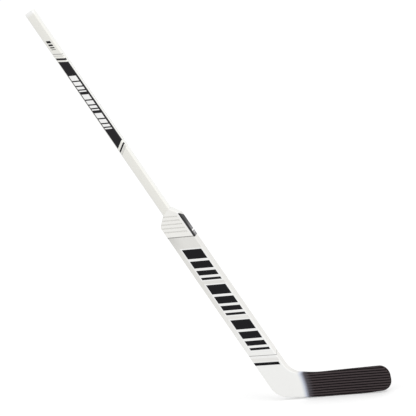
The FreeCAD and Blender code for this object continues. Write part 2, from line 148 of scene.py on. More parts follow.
class StickMarks(bpy.types.PropertyGroup):
    """Places of the painted stripes and bars."""

    top_line: length("Top line", 1.1318, "Height of the thin line above the band, at the heel-side edge")
    top_stripe: length("Top stripe", 1.1153, "Height of the black stripe above the band, at that edge")
    band_top: length("Band top", 1.1068, "Height of the band's upper end, at that edge")
    top_tilt: share("Top tilt", 0.066, "Fall of these three for each unit across")
    band_bottom: length("Band bottom", 0.896, "Along the shaft to the band's lower end, at that edge")
    band_slant: share("Band slant", 0.57, "Rise of the band's lower end for each unit across")
    stripe_width: length("Stripe width", 0.0063, "Width of the black stripes above and below the band")
    margin: length("Margin", 0.0032, "Plain strip beside the shaft's heel-side edge")
    wrap: length("Wrap", 0.0040, "How far the front's band and stripes reach round the toe-side corner")
    bar_groups: count("Bar groups", 3, "Groups of level bars")
    group_bars: count("Bars in a group", 4, "Level bars in each group")
    butt_bars_low: length("Lowest butt bar", 1.145, "Height of the lowest small bar near the butt")
    butt_bars_high: length("Highest butt bar", 1.174, "Height of the top of the highest small bar there")
    band_bars_low: length("Lowest band bar", 0.886, "Height of the lowest white bar")
    band_bars_high: length("Highest band bar", 1.060, "Height of the top of the highest white bar")
    paddle_bars_low: length("Lowest paddle bar", 0.163, "Height of the lowest black bar")
    paddle_bars_high: length("Highest paddle bar", 0.492, "Height of the top of the highest black bar")
    bar_near: length("Bar start", 0.0185, "Across the paddle to the bars' heel-side end")
    bar_far: length("Bar end", 0.0775, "Across the paddle to the bars' toe-side end")
    keyline: length("Keyline", 0.0035, "Bright border round the black bars")
    heel_line: length("Heel line", 0.1454, "Height of the grey line above the heel, at the heel-side edge")
    heel_stripe: length("Heel stripe", 0.1188, "Height of the black stripe across the heel, at that edge")
    heel_tilt: share("Heel tilt", 0.017, "Fall of these two for each unit across")
    heel_stripe_width: length("Heel stripe width", 0.0092, "Width of that stripe")


class StickColours(bpy.types.PropertyGroup):
    """Paint, rubber, wood and foam colours."""

    white: colour("White paint", (238, 237, 231), "Satin paint of the shaft's faces")
    side_white: colour("Side white", (236, 236, 233), "Narrow sides of the shaft, and the shoulders")
    paddle_white: colour("Paddle white", (231, 230, 226), "Paint at the top of the paddle")
    # Painted shade under the grip plate, at the paddle's heel-side top corner
    paddle_corner_painted_shade: colour("Paddle shade", (214, 213, 209), "Its heel-side corner, greyed by the hand above it")
    heel_white: colour("Heel white", (248, 248, 246), "Paint of the heel, which the paddle runs into")
    edge_white: colour("Edge white", (223, 222, 219), "Narrow edges at the top of the paddle")
    neck_white: colour("Neck white", (230, 229, 226), "Narrow edges at the paddle's foot and along the neck")
    cap_white: colour("Cap white", (240, 240, 237), "Moulded butt plug")
    # Bright white also serves as painted highlight along the grip plates' rim, at the sleeve's end under the
    # butt plug and on the butt plug's faces
    bright: colour("Bright white", (249, 249, 248), "White bars, black bars' borders, grip plates' rim")
    shaft_black: colour("Shaft black", (30, 28, 31), "Band and stripes of the shaft")
    paddle_black: colour("Paddle black", (11, 10, 15), "Bars and stripe of the paddle")
    line_grey: colour("Line grey", (158, 157, 156), "Thin lines")
    pale_grey: colour("Pale grey", (237, 236, 233), "Faint band above the heel stripe")
    grip_white: colour("Grip white", (245, 244, 240), "Ribbed grip plates")
    # Painted shade on the floors of the grip plates' grooves
    grip_shade: colour("Grip shade", (226, 225, 221), "Floors of the grip plates' grooves")
    fade_tint: colour("Fade tint", (194, 200, 216), "Sprayed edge between white and black")
    # The raised bands' black: the blade's own tone, lifted by painted sheen
    land_black_and_sheen: colour("Blade black", (76, 67, 69), "Raised bands of the blade's face")
    # Painted shade in the face grooves, and also the dark of the weave's strands
    groove_shade_and_strand_black: colour("Groove black", (3, 2, 2), "Grooves of the blade's face")
    blade_rim: colour("Rim black", (40, 31, 32), "Smooth edge round the blade")
    rubber: colour("Rubber", (8, 8, 9), "Front edge of the finger grip")
    rubber_side: colour("Rubber side", (56, 55, 57), "Flat side of the finger grip")
    # Paler lower end of the finger grip's flat side, fading into the side's colour higher up
    rubber_pale_end: colour("Worn rubber", (130, 129, 131), "Lower end of that side, where the hand rubs it pale")
    aspen: colour("Aspen", (214, 190, 150), "Centre ply and heel core")
    birch: colour("Birch", (196, 162, 116), "Face plies and heel tongue")
    foam: colour("Foam", (232, 224, 198), "Fillers of paddle and blade")
    carbon: colour("Carbon", (36, 36, 40), "Ribs inside the blade")


class StickStage(bpy.types.PropertyGroup):
    """Camera and light."""

    azimuth: angle("Azimuth", 27.4, "Camera turned round the stick")
    elevation: angle("Elevation", 12.65, "Camera above level")
    roll: angle("Roll", 11.66, "Turn of the picture, anticlockwise")
    distance: length("Distance", 30.0, "Camera to stick")
    frame_width: length("Frame width", 1.250, "Width that the picture takes in at the stick")
    heel_right: length("Heel right", 0.2132, "Heel corner, right of the picture's centre")
    heel_below: length("Heel below", 0.5793, "Heel corner, below the picture's centre")
    key: strength("Key light", 1.05, "Strength of the soft sun")
    surround: strength("Surround", 0.79, "Strength of the even white surround")
    floor_radius: length("Floor radius", 60.0, "Radius of the floor")


class Graph:
    """Adds nodes to one material or node group."""

    def __init__(self, tree):
        self.tree = tree

    def add(self, kind, **settings):
        made = self.tree.nodes.new(kind)
        for key, value in settings.items():
            setattr(made, key, value)
        return made

    def feed(self, socket, value):
        """Link a socket to another, or set its value."""
        if isinstance(value, bpy.types.NodeSocket):
            self.tree.links.new(value, socket)
        elif socket.type == "RGBA":
            socket.default_value = tuple(value)[:3] + (1.0,)
        else:
            socket.default_value = value

    def fill(self, made, **values):
        """Feed a node's sockets by name, with underscores for spaces. Its outputs come back."""
        for name, value in values.items():
            self.feed(made.inputs[name.replace("_", " ").title()], value)
        return made.outputs

    def calc(self, operation, *terms, clamp=False):
        made = self.add("ShaderNodeMath", operation=operation, use_clamp=clamp)
        for socket, term in zip(made.inputs, terms):
            self.feed(socket, term)
        return made.outputs[0]

    def times(self, first, *others):
        """Product of values, or the part that masks have in common."""
        for other in others:
            first = self.calc("MULTIPLY", first, other)
        return first

    def any_of(self, first, *others):
        """Masks laid together, the strongest showing."""
        for other in others:
            first = self.calc("MAXIMUM", first, other)
        return first

    def outside(self, mask):
        return self.calc("SUBTRACT", 1.0, mask)

    def mix(self, factor, first, second, how="MIX"):
        made = self.add("ShaderNodeMix", data_type="RGBA", blend_type=how)
        self.feed(made.inputs[0], factor)
        self.feed(made.inputs[6], first)
        self.feed(made.inputs[7], second)
        return made.outputs[2]

    def step(self, value, low, high):
        """Smooth rise from 0 at low to 1 at high."""
        made = self.add("ShaderNodeMapRange", interpolation_type="SMOOTHSTEP")
        return self.fill(made, value=value, from_min=low, from_max=high)["Result"]

    def point(self):
        """Place of the point on the piece, in the frame of the solids."""
        return self.add("ShaderNodeTexCoord").outputs["Object"]

    def point_parts(self):
        """That place as separate X, Y and Z."""
        return self.fill(self.add("ShaderNodeSeparateXYZ"), vector=self.point())

    def noise(self, scale, detail, stretch=None):
        """Noise over the piece's own place, stretched along axes if asked."""
        place = self.point()
        if stretch:
            place = self.fill(self.add("ShaderNodeMapping"), vector=place, scale=stretch)["Vector"]
        made = self.add("ShaderNodeTexNoise")
        return self.fill(made, vector=place, scale=scale, detail=detail)["Fac"]

    def use(self, group, **values):
        """Place a shared group."""
        return self.fill(self.add("ShaderNodeGroup", node_tree=group), **values)

    def between(self, value, low, high, blur=EDGE_BLUR):
        return self.use(between_group(), value=value, low=low, high=high, blur=blur)["Mask"]

    def stripe(self, value, middle, width):
        return self.between(value, middle - width / 2, middle + width / 2)


def new_group(name, inputs, outputs):
    """Empty shader group with its sockets, as graph, input sockets and output sockets."""
    tree = bpy.data.node_groups.new(name, "ShaderNodeTree")
    kinds = {"value": "NodeSocketFloat", "colour": "NodeSocketColor"}
    for label, kind, default in inputs:
        socket = tree.interface.new_socket(name=label, in_out="INPUT", socket_type=kinds[kind])
        socket.default_value = default
    for label, kind in outputs:
        tree.interface.new_socket(name=label, in_out="OUTPUT", socket_type=kinds[kind])
    graph = Graph(tree)
    return graph, graph.add("NodeGroupInput").outputs, graph.add("NodeGroupOutput").inputs


def shared_group(name):
    """Mark a function as the builder of a group: its first call builds it, later ones hand it out again."""

    def mark(build):
        def hand_out(*values):
            if name not in bpy.data.node_groups:
                build(name, *values)
            return bpy.data.node_groups[name]

        return hand_out

    return mark


@shared_group("Between limits")
def between_group(name):
    """Mask that is 1 where a value lies between two limits."""
    defaults = {"Value": 0.0, "Low": 0.0, "High": 1.0, "Blur": EDGE_BLUR}
    inputs = [(label, "value", default) for label, default in defaults.items()]
    graph, given, result = new_group(name, inputs, [("Mask", "value")])
    edges = []
    for limit in (given["Low"], given["High"]):
        low = graph.calc("SUBTRACT", limit, given["Blur"])
        high = graph.calc("ADD", limit, given["Blur"])
        edges.append(graph.step(given["Value"], low, high))
    graph.feed(result["Mask"], graph.calc("SUBTRACT", *edges, clamp=True))


@shared_group("Place on stick")
def place_group(name, sizes):
    """Where a point lies: across the paddle, along the shaft, in depth, in height and from the heel."""
    labels = ("Across", "Along", "Depth", "Height", "From heel")
    graph, _, result = new_group(name, [], [(label, "value") for label in labels])
    parts = graph.point_parts()
    x = graph.calc("SUBTRACT", parts["X"], HEEL_CORNER_X)
    z = parts["Z"]
    lie_cos = math.cos(sizes.lie)
    lie_sin = math.sin(sizes.lie)
    across = graph.calc("SUBTRACT", graph.times(x, lie_sin), graph.times(z, lie_cos))
    along = graph.calc("ADD", graph.times(x, lie_cos), graph.times(z, lie_sin))
    for label, value in zip(labels, (across, along, parts["Y"], z, x)):
        graph.feed(result[label], value)


@shared_group("Paint film")
def film_group(name):
    """Sprayed paint film: faint drift of tone, fine peel and a few light rubs."""
    rub_dullness, rub_depth = 0.10, 0.3
    graph, given, result = new_group(
        name,
        [("Colour", "colour", (0.8, 0.8, 0.8, 1)), ("Drift", "value", 0.03), ("Sheen", "value", 0.34)],
        [("Colour", "colour"), ("Roughness", "value"), ("Height", "value")],
    )
    tone = graph.noise(scale=7.0, detail=3.0)
    rubs = graph.noise(scale=60.0, detail=4.0, stretch=(1.0, 1.0, 0.12))
    peel = graph.noise(scale=1100.0, detail=1.0)
    level = graph.calc("MULTIPLY_ADD", graph.calc("SUBTRACT", tone, 0.5), given["Drift"], 1.0)
    grey = graph.add("ShaderNodeCombineColor")
    for socket in grey.inputs:
        graph.feed(socket, level)
    graph.feed(result["Colour"], graph.mix(1.0, given["Colour"], grey.outputs[0], "MULTIPLY"))
    rubbed = graph.step(rubs, low=0.58, high=0.74)
    graph.feed(result["Roughness"], graph.calc("MULTIPLY_ADD", rubbed, rub_dullness, given["Sheen"]))
    graph.feed(result["Height"], graph.calc("MULTIPLY_ADD", rubbed, -rub_depth, peel))


@shared_group("Fibre weave")
def weave_group(name):
    """Woven fibre under thin paint: two crossed sets of strands, as a height and a tone."""
    strand_tone = 0.06
    inputs = [("Pitch", "value", 0.0016)]
    graph, given, result = new_group(name, inputs, [("Height", "value"), ("Tone", "value")])
    parts = graph.point_parts()
    strands = []
    for sign in ("ADD", "SUBTRACT"):
        run = graph.calc(sign, parts["X"], parts["Z"])
        turn = graph.times(graph.calc("DIVIDE", run, given["Pitch"]), math.pi)
        strands.append(graph.calc("SINE", turn))
    crossed = graph.times(*strands)
    # Brought from -1 and 1 to 0 and 1
    graph.feed(result["Height"], graph.calc("MULTIPLY_ADD", crossed, 0.5, 0.5))
    drift = graph.noise(scale=240.0, detail=2.0)
    graph.feed(result["Tone"], graph.calc("MULTIPLY_ADD", crossed, strand_tone, drift))


@shared_group("Heel marks")
def heel_marks_group(name, sizes, marks, colours):
    """Thin line, faint band and black stripe that cross the paddle's foot and the top of the heel."""
    # Rounding between face and edge, and the strip beside the edge where the line turns onto it
    face_rim, turn_start, turn_end = 0.0022, 0.003, 0.001
    # The line is level at first, climbs with depth along the edge, and ends there
    line_width, level_depth, climb, line_end = 0.0018, 0.004, 0.83, 0.004
    # Plain strips between stripe, faint band and line, and between the stripe and the toe-side edge
    above_stripe, below_line, band_blur, stripe_stop = 0.008, 0.0085, 0.002, 0.0075

    graph, given, result = new_group(name, [("Colour", "colour", (1, 1, 1, 1))], [("Colour", "colour")])
    place = graph.use(place_group(sizes))
    half = sizes.paddle_thickness / 2
    edge = sizes.paddle_width
    on_face = graph.between(graph.calc("ABSOLUTE", place["Depth"]), half - face_rim, half + BEYOND)
    on_edge = graph.step(place["Across"], edge - turn_start, edge - turn_end)
    tilted = graph.calc("MULTIPLY_ADD", place["Across"], marks.heel_tilt, place["Height"])
    rise = graph.times(graph.calc("SUBTRACT", place["Depth"], level_depth - half), climb)
    rise = graph.calc("MAXIMUM", rise, 0.0)
    bent = graph.calc("SUBTRACT", tilted, graph.times(rise, on_edge))
    bent_line = graph.times(
        graph.stripe(bent, marks.heel_line, line_width),
        graph.between(place["Depth"], -half - BEYOND, line_end),
    )
    flat_line = graph.times(
        graph.stripe(tilted, marks.heel_line, line_width), graph.outside(on_edge), on_face
    )
    band = graph.between(tilted, marks.heel_stripe + above_stripe, marks.heel_line - below_line, band_blur)
    stripe = graph.times(
        graph.stripe(tilted, marks.heel_stripe, marks.heel_stripe_width),
        graph.between(place["Across"], -BEYOND, edge - stripe_stop),
        on_face,
    )
    made = graph.mix(graph.times(band, on_face), given["Colour"], colours.pale_grey)
    made = graph.mix(graph.any_of(bent_line, flat_line), made, colours.line_grey)
    graph.feed(result["Colour"], graph.mix(stripe, made, colours.paddle_black))


@shared_group("Straight grain")
def wood_group(name):
    """Straight upright grain: long streaks and pores."""
    grain_shade = (0.62, 0.52, 0.42)
    pore_strength = 0.3
    graph, given, result = new_group(
        name,
        [("Colour", "colour", (0.6, 0.45, 0.3, 1)), ("Figure", "value", 0.35)],
        [("Colour", "colour"), ("Height", "value")],
    )
    streaks = graph.noise(scale=180.0, detail=4.0, stretch=(1.0, 1.0, 0.03))
    specks = graph.noise(scale=900.0, detail=2.0, stretch=(1.0, 1.0, 0.05))
    pores = graph.step(specks, low=0.60, high=0.72)
    dark = graph.mix(1.0, given["Colour"], grain_shade, "MULTIPLY")
    streaked = graph.times(graph.step(streaks, low=0.42, high=0.66), given["Figure"])
    made = graph.mix(streaked, given["Colour"], dark)
    graph.feed(result["Colour"], graph.mix(graph.times(pores, pore_strength), made, dark))
    graph.feed(result["Height"], graph.calc("SUBTRACT", streaks, pores))


def new_material(name, gloss=0.15, roughness=0.5):
    """Material with a Principled shader, as material, graph and shader."""
    material = bpy.data.materials.new(name)
    material.use_nodes = True
    material.node_tree.nodes.clear()
    graph = Graph(material.node_tree)
    shader = graph.add("ShaderNodeBsdfPrincipled")
    shader.inputs["Specular IOR Level"].default_value = gloss
    shader.inputs["Roughness"].default_value = roughness
    graph.fill(graph.add("ShaderNodeOutputMaterial"), surface=shader.outputs["BSDF"])
    return material, graph, shader


def bump(graph, shader, height, distance, strength):
    """Raise or sink the surface a little by a height that changes over it."""
    made = graph.add("ShaderNodeBump")
    normal = graph.fill(made, height=height, distance=distance, strength=strength)["Normal"]
    graph.fill(shader, normal=normal)


def lay_film(graph, shader, painted, drift=0.03, sheen=0.34):
    """Give a painted colour the paint film's tone and gloss. The film's outputs come back."""
    film = graph.use(film_group(), colour=painted, drift=drift, sheen=sheen)
    graph.fill(shader, base_color=film["Colour"], roughness=film["Roughness"])
    return film


def coat_with_film(graph, shader, painted, **looks):
    """Finish a painted colour with the paint film's tone, gloss and peel."""
    film = lay_film(graph, shader, painted, **looks)
    bump(graph, shader, film["Height"], distance=0.00004, strength=0.35)


def bar_limits(low, high, groups, bars, gap=1.0, wide_gap=2.2):
    """Lower and upper heights of level bars in like groups, each thinning downwards.

    Gaps, and the wide ones between groups, count in thin bars.
    """
    weights = range(1, bars + 1)
    group_units = sum(weights) + gap * (bars - 1)
    unit = (high - low) / (group_units * groups + wide_gap * (groups - 1))
    limits = []
    for group in range(groups):
        at = low + group * (group_units + wide_gap) * unit
        for weight in weights:
            limits.append((at, at + weight * unit))
            at += (weight + gap) * unit
    return limits


def bar_mask(graph, height, limits, spread=0.0):
    """Mask of level bars, each widened by a spread on both sides."""
    return graph.any_of(*(graph.between(height, low - spread, high + spread) for low, high in limits))


def shaft_paint(sizes, marks, colours):
    """White shaft with a black band between stripes on both faces."""
    # Two grey lines above the band: widths, and the lower one's drop from the upper
    line_width, second_drop, second_width = 0.0022, 0.006, 0.001
    # Stripe and grey lines below the band: drops from its lower end, and the lines' width
    foot_stripe_drop, foot_line_drops, foot_line_width = 0.0115, (0.0185, 0.0225), 0.0012
    # Plain strips beside the white bars and the small ones, and the small ones' gaps in thin bars
    bar_near, bar_far, small_bar_side, small_gap = 0.0056, 0.0026, 0.0085, 1.8
    # Painted highlight at the sleeve's end under the butt plug, and the softness of the marks' edge at the
    # margin
    highlight_length, margin_blur = 0.014, 0.0004

    material, graph, shader = new_material("shaft_paint")
    place = graph.use(place_group(sizes))
    half = sizes.shaft_thickness / 2
    from_edge = graph.calc("SUBTRACT", place["Across"], sizes.shaft_edge)
    front = graph.between(place["Depth"], -half - BEYOND, sizes.shaft_corner + marks.wrap - half)
    back = graph.between(place["Depth"], half - sizes.shaft_corner, half + BEYOND)
    past_margin = graph.step(from_edge, marks.margin - margin_blur, marks.margin + margin_blur)
    on_face = graph.times(graph.any_of(front, back), past_margin)
    tilted = graph.calc("MULTIPLY_ADD", from_edge, marks.top_tilt, place["Height"])
    slanted = graph.calc("MULTIPLY_ADD", from_edge, -marks.band_slant, place["Along"])
    band = graph.times(
        graph.step(slanted, marks.band_bottom - EDGE_BLUR, marks.band_bottom + EDGE_BLUR),
        graph.between(tilted, 0.0, marks.band_top),
    )
    lines = graph.any_of(
        graph.stripe(tilted, marks.top_line, line_width),
        graph.stripe(tilted, marks.top_line - second_drop, second_width),
        *(graph.stripe(slanted, marks.band_bottom - drop, foot_line_width) for drop in foot_line_drops),
    )
    limits = bar_limits(marks.butt_bars_low, marks.butt_bars_high, 1, marks.group_bars, gap=small_gap)
    small_bars = graph.times(
        bar_mask(graph, place["Height"], limits),
        graph.between(from_edge, small_bar_side, sizes.shaft_width - small_bar_side),
    )
    black = graph.any_of(
        band,
        graph.stripe(tilted, marks.top_stripe, marks.stripe_width),
        graph.stripe(slanted, marks.band_bottom - foot_stripe_drop, marks.stripe_width),
        small_bars,
    )
    limits = bar_limits(marks.band_bars_low, marks.band_bars_high, marks.bar_groups, marks.group_bars)
    white_bars = graph.times(
        bar_mask(graph, place["Height"], limits),
        graph.between(from_edge, bar_near, sizes.shaft_width - bar_far),
    )
    # Painted highlight: the sleeve's last stretch under the butt plug is painted bright white
    bright = graph.step(place["Along"], sizes.sleeve_top - highlight_length, sizes.sleeve_top)
    painted = graph.mix(on_face, colours.side_white, colours.white)
    coats = (
        (bright, colours.bright),
        (lines, colours.line_grey),
        (black, colours.shaft_black),
        (white_bars, colours.bright),
    )
    for mask, paint in coats:
        painted = graph.mix(graph.times(mask, on_face), painted, paint)
    coat_with_film(graph, shader, painted)
    return material


def paddle_paint(sizes, marks, colours):
    """White paddle with level black bars in a bright border, and the marks above the heel."""
    # Heights where the heel's white starts to change and where it has become the paddle's
    heel_tone, paddle_tone = 0.08, 0.40
    # Painted shade at the heel-side corner under the grip plate: its reach below the plate, and across the
    # paddle from full to none
    shade_drop, shade_full, shade_none = 0.065, 0.004, 0.044
    # Rounding between face and edge, the edge's white from its start to full, and the shoulder's blur
    face_rim, edge_start, edge_full, shoulder_blur = 0.002, 0.0016, 0.0004, 0.003

    material, graph, shader = new_material("paddle_paint")
    place = graph.use(place_group(sizes))
    half = sizes.paddle_thickness / 2
    on_face = graph.between(graph.calc("ABSOLUTE", place["Depth"]), half - face_rim, half + BEYOND)
    rise = graph.step(place["Height"], heel_tone, paddle_tone)
    painted = graph.mix(rise, colours.heel_white, colours.paddle_white)
    # Painted shade: the paddle's heel-side corner just below the grip plate is greyed
    below_grip = graph.step(place["Height"], GRIP_BASE_HEIGHT - shade_drop, GRIP_BASE_HEIGHT)
    heel_side = graph.outside(graph.step(place["Across"], shade_full, shade_none))
    painted = graph.mix(graph.times(below_grip, heel_side, on_face), painted, colours.paddle_corner_painted_shade)
    edge = graph.step(place["Across"], sizes.paddle_width - edge_start, sizes.paddle_width - edge_full)
    painted = graph.mix(edge, painted, graph.mix(rise, colours.neck_white, colours.edge_white))
    shoulder = graph.step(place["Along"], sizes.shoulder - shoulder_blur, sizes.shoulder + shoulder_blur)
    painted = graph.mix(shoulder, painted, colours.side_white)
    limits = bar_limits(marks.paddle_bars_low, marks.paddle_bars_high, marks.bar_groups, marks.group_bars)
    for spread, paint in ((marks.keyline, colours.bright), (0.0, colours.paddle_black)):
        bars = bar_mask(graph, place["Height"], limits, spread)
        sides = graph.between(place["Across"], marks.bar_near - spread, marks.bar_far + spread)
        painted = graph.mix(graph.times(bars, sides, on_face), painted, paint)
    painted = graph.use(heel_marks_group(sizes, marks, colours), colour=painted)["Colour"]
    coat_with_film(graph, shader, painted)
    return material


def groove_offset(graph, rise, pitch):
    """Distance from the nearest groove's middle, in pitches, where the first groove's middle is at 0."""
    turns = graph.calc("ADD", graph.calc("DIVIDE", rise, pitch), 0.5)
    return graph.calc("ABSOLUTE", graph.calc("SUBTRACT", graph.calc("FRACT", turns), 0.5))


def grip_plastic(sizes, colours):
    """Moulded white of the ribbed plates, with painted shade in the lower grooves and a painted highlight
    along the rim by the finger grip.
    """
    # Painted shade in the grooves: part of a groove's half width that is shaded in full, and the shaded
    # height in pitches
    shaded_part, shaded_pitches = 0.55, 4.5
    # Softness at the ribs' toe-side end, height of the grey foot, and the painted highlight along the rim
    # from its start to full
    rib_blur, foot_height, rim_highlight_start, rim_highlight_full = 0.003, 0.0024, 0.0080, 0.0055

    material, graph, shader = new_material("grip_plastic")
    place = graph.use(place_group(sizes))
    rise = graph.calc("SUBTRACT", place["Height"], GRIP_BASE_HEIGHT + sizes.rib_first)
    reach = sizes.rib_width / sizes.rib_pitch / 2
    offset = groove_offset(graph, rise, sizes.rib_pitch)
    groove = graph.outside(graph.step(offset, reach * shaded_part, reach))
    upper = graph.between(rise, -sizes.rib_width, sizes.rib_pitch * shaded_pitches)
    ribbed = graph.between(place["Across"], -BEYOND, sizes.paddle_width - sizes.rib_margin, rib_blur)
    rim = graph.step(place["Across"], sizes.paddle_width - rim_highlight_start, sizes.paddle_width - rim_highlight_full)
    foot = graph.between(place["Height"], GRIP_BASE_HEIGHT - BEYOND, GRIP_BASE_HEIGHT + foot_height)
    # Painted shade: the floors of the lowest grooves are greyed
    painted = graph.mix(graph.times(groove, upper, ribbed), colours.grip_white, colours.grip_shade)
    # Painted highlight: a bright strip along the plate's toe-side rim beside the finger grip
    painted = graph.mix(rim, painted, colours.bright)
    painted = graph.mix(foot, painted, colours.line_grey)
    coat_with_film(graph, shader, painted, drift=0.02, sheen=0.46)
    return material


def finger_rubber(sizes, colours):
    """Black rubber, paler on its flat side and paler still towards its lower end, with a light stripe and a
    faint one there.
    """
    # Depths between which the front edge turns into the flat side, and heights between which the paler lower
    # end fades out
    side_start, side_full, pale_below, fresh_above = -0.0055, -0.0035, 0.018, 0.054
    # Stripes: fall with depth, width, and each one's height and strength
    stripe_fall, stripe_width, stripes = 0.15, 0.0036, ((0.0188, 1.0), (0.0118, 0.25))

    material, graph, shader = new_material("finger_rubber", gloss=0.35)
    place = graph.use(place_group(sizes))
    flat = graph.step(place["Depth"], side_start, side_full)
    rise = graph.calc("SUBTRACT", place["Height"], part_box("finger_grip")[0].z)
    # The flat side grows paler towards the finger grip's lower end
    side = graph.mix(graph.step(rise, pale_below, fresh_above), colours.rubber_pale_end, colours.rubber_side)
    slanted = graph.calc("MULTIPLY_ADD", place["Depth"], -stripe_fall, rise)
    for height, brightness in stripes:
        stripe = graph.stripe(slanted, height, stripe_width)
        side = graph.mix(graph.times(stripe, brightness), side, colours.bright)
    lay_film(graph, shader, graph.mix(flat, colours.rubber, side), drift=0.12, sheen=0.42)
    bump(graph, shader, graph.noise(scale=1600.0, detail=1.0), distance=0.00012, strength=0.5)
    return material


def blade_paint(name, sizes, marks, colours, ground, grooved=False):
    """White heel sprayed into a black blade, over woven fibre, with painted shade in the grooves on the faces
    and the raised bands between them lighter, partly as painted sheen.
    """
    # Reach of the spray's speckle, and the haze's share of the black
    speckle, haze_share = 0.004, 0.14
    # The weave's share of the tone, the black's extra dullness and the film's share of the bump
    weave_share, dullness, peel_share = 0.35, 0.12, 0.4
    # A groove's floor and brim, as parts of its half width
    groove_floor, groove_brim = 0.8, 1.1

    material, graph, shader = new_material(name, gloss=0.06)
    place = graph.use(place_group(sizes))
    weave = graph.use(weave_group(), pitch=0.0016)
    mist = graph.noise(scale=700.0, detail=3.0)
    spray = graph.times(graph.calc("SUBTRACT", mist, 0.5), speckle)
    above_foot = graph.calc("SUBTRACT", place["Height"], sizes.fade_foot)
    lean = graph.calc("DIVIDE", graph.times(above_foot, above_foot), sizes.fade_bow)
    run = graph.calc("ADD", graph.calc("ADD", place["From heel"], lean), spray)
    tinted = graph.step(run, sizes.fade_start, (sizes.fade_black + sizes.fade_end) / 2)
    haze = graph.step(run, sizes.fade_black, sizes.fade_end + sizes.fade_tail)
    dense = graph.step(run, sizes.fade_black, sizes.fade_end)
    covered = graph.calc("MULTIPLY_ADD", dense, 1.0 - haze_share, graph.times(haze, haze_share))
    fibre = graph.times(weave["Tone"], weave_share)
    black = graph.mix(fibre, colours.blade_rim, colours.groove_shade_and_strand_black)
    if grooved:
        rise = graph.calc("SUBTRACT", place["Height"], sizes.groove_first)
        reach = sizes.groove_width / sizes.groove_pitch / 2
        offset = groove_offset(graph, rise, sizes.groove_pitch)
        # Painted shade: the grooves' floors go near black where the blade is black
        groove = graph.outside(graph.step(offset, reach * groove_floor, reach * groove_brim))
        land = graph.mix(fibre, colours.land_black_and_sheen, colours.groove_shade_and_strand_black)
        black = graph.mix(graph.times(groove, haze), land, colours.groove_shade_and_strand_black)
    painted = graph.use(heel_marks_group(sizes, marks, colours), colour=ground)["Colour"]
    painted = graph.mix(tinted, painted, colours.fade_tint)
    painted = graph.mix(covered, painted, black)
    film = lay_film(graph, shader, painted, sheen=0.36)
    graph.fill(shader, roughness=graph.calc("MULTIPLY_ADD", covered, dullness, film["Roughness"]))
    woven = graph.times(weave["Height"], covered)
    relief = graph.calc("ADD", woven, graph.times(film["Height"], peel_share))
    bump(graph, shader, relief, distance=0.00006, strength=0.5)
    return material


def cap_plastic(sizes, colours):
    """Moulded white plastic with a fine spark-eroded grain, and a painted highlight that makes its faces
    brighter.
    """
    material, graph, shader = new_material("cap_plastic")
    half = sizes.shaft_thickness / 2
    depth = graph.calc("ABSOLUTE", graph.use(place_group(sizes))["Depth"])
    on_face = graph.step(depth, half - sizes.shaft_corner, half)
    # Painted highlight: the faces take the bright white, the narrow sides the cap white
    tint = graph.mix(on_face, colours.cap_white, colours.bright)
    lay_film(graph, shader, tint, drift=0.02, sheen=0.40)
    bump(graph, shader, graph.noise(scale=2600.0, detail=2.0), distance=0.00005, strength=0.5)
    return material


def bare_wood(name, tint, figure):
    """Unpainted wood, with its figure stronger or weaker."""
    material, graph, shader = new_material(name, roughness=0.62)
    grain = graph.use(wood_group(), colour=tint, figure=figure)
    graph.fill(shader, base_color=grain["Colour"])
    bump(graph, shader, grain["Height"], distance=0.00015, strength=0.5)
    return material


def rigid_foam(colours):
    """Closed-cell foam: small cells as a bump and a tone."""
    cells_across_metre = 900.0
    wall_shade = (0.82, 0.80, 0.74)
    material, graph, shader = new_material("rigid_foam", roughness=0.85)
    cells = graph.add("ShaderNodeTexVoronoi", feature="DISTANCE_TO_EDGE")
    distance = graph.fill(cells, vector=graph.point(), scale=cells_across_metre)["Distance"]
    inside = graph.step(distance, low=0.02, high=0.16)
    shade = graph.mix(1.0, colours.foam, wall_shade, "MULTIPLY")
    graph.fill(shader, base_color=graph.mix(inside, shade, colours.foam))
    bump(graph, shader, inside, distance=0.0002, strength=0.6)
    return material


def rib_carbon(colours):
    """Resin-bound fibre of the blade's inner ribs."""
    strand_shade = (0.5, 0.5, 0.5)
    material, graph, shader = new_material("rib_carbon", roughness=0.4)
    weave = graph.use(weave_group(), pitch=0.0010)
    dark = graph.mix(1.0, colours.carbon, strand_shade, "MULTIPLY")
    graph.fill(shader, base_color=graph.mix(weave["Tone"], dark, colours.carbon))
    bump(graph, shader, weave["Height"], distance=0.00008, strength=0.5)
    return material


def paint_nodes(material, *names):
    """Give solids a material, in all their slots."""
    for name in names:
        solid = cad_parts[name]
        solid.data.materials.clear()
        solid.data.materials.append(material)


def stick_point(sizes, across, along, depth):
    """Place in the frame of a point given across the paddle, along the shaft and in depth."""
    lie_cos = math.cos(sizes.lie)
    lie_sin = math.sin(sizes.lie)
    x = HEEL_CORNER_X + across * lie_sin + along * lie_cos
    return Vector((x, depth, along * lie_sin - across * lie_cos))


def rounded_section(half_width, half_depth, radius):
    """Points round a rectangle with round corners, as across and depth from its centre."""
    points = []
    for corner, (side, face) in enumerate(((1, 1), (-1, 1), (-1, -1), (1, -1))):
        for i in range(CORNER_STEPS + 1):
            turn = math.pi / 2 * (corner + i / CORNER_STEPS)
            across = side * (half_width - radius) + radius * math.cos(turn)
            depth = face * (half_depth - radius) + radius * math.sin(turn)
            points.append((across, depth))
    return points


def new_piece(name, shell, material):
    """Object from a finished bmesh, smooth but for its sharp edges, riding on the stick."""
    bmesh.ops.recalc_face_normals(shell, faces=shell.faces)
    mesh = bpy.data.meshes.new(name)
    shell.to_mesh(mesh)
    shell.free()
    mesh.polygons.foreach_set("use_smooth", [True] * len(mesh.polygons))
    mesh.set_sharp_from_angle(angle=SHARP_ANGLE)
    mesh.materials.append(material)
    piece = bpy.data.objects.new(name, mesh)
    bpy.context.scene.collection.objects.link(piece)
    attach(piece, "root")
    return piece


